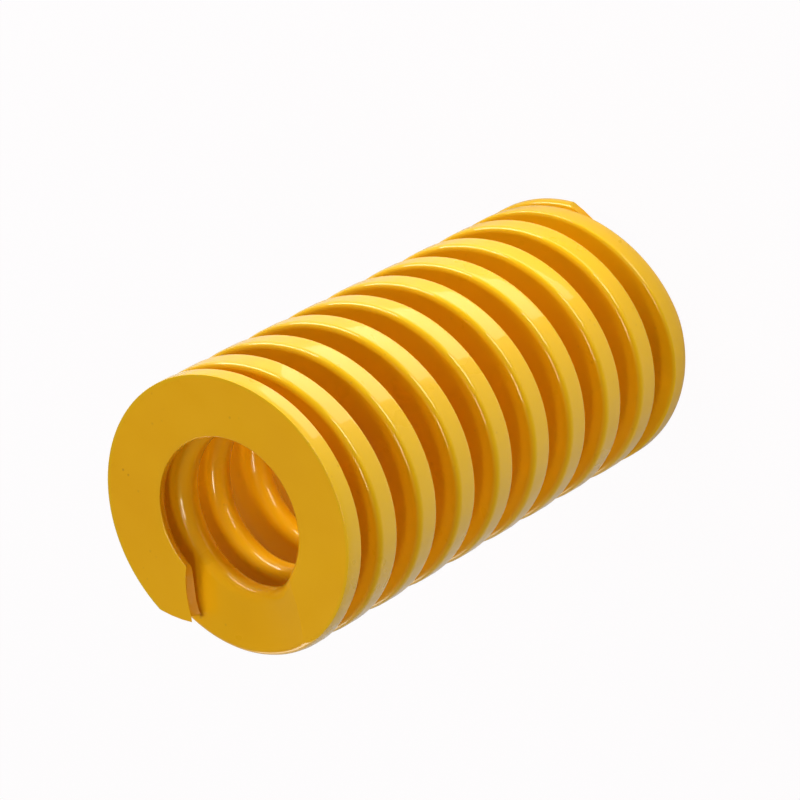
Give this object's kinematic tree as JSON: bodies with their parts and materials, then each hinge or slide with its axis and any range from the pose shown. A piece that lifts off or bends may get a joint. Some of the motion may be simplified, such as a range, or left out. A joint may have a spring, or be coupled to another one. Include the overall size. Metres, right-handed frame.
{
  "type": "die spring",
  "caption": "Heavy-duty compression spring of flattened rectangular wire, with closed ends ground flat, for guided loads in dies and tools.",
  "frame": {"origin": "on the coil's axis, in the plane of the lower ground end", "axes": "+Z along the coil's axis from the lower ground end to the upper one; the upper tip of the wire lies in the -X -Y quarter"},
  "size_m": [0.0496, 0.0496, 0.1],
  "materials": {
    "coil_enamel": "glossy amber-yellow baked enamel over spring steel"
  },
  "bodies": {
    "root": {"die_spring": "coil_enamel"}
  },
  "joints": []
}
